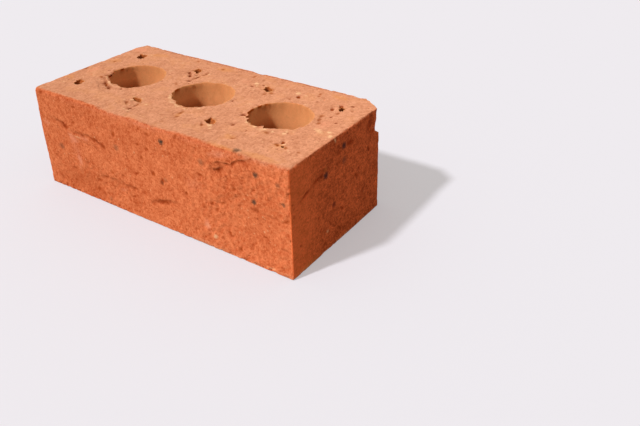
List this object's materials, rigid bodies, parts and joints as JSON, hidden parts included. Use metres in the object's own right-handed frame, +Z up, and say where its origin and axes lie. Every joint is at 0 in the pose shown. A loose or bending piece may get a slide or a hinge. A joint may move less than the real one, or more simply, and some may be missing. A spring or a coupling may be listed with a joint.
{
  "type": "perforated clay brick",
  "caption": "Wire-cut clay facing brick with round cores and small pin holes through its bed faces, rounded upright arrises and creased, sanded faces.",
  "frame": {"origin": "centre of the lower bed face, on the plane that the brick lies on", "axes": "+X along the length of the brick, +Y across its width, +Z up along the cores"},
  "size_m": [0.215, 0.1024, 0.073],
  "materials": {
    "fired_clay": "matt fired clay, orange-red, fine sandy face with darker iron spots, paler smooth bed face"
  },
  "bodies": {
    "root": {"brick": "fired_clay"}
  },
  "joints": []
}
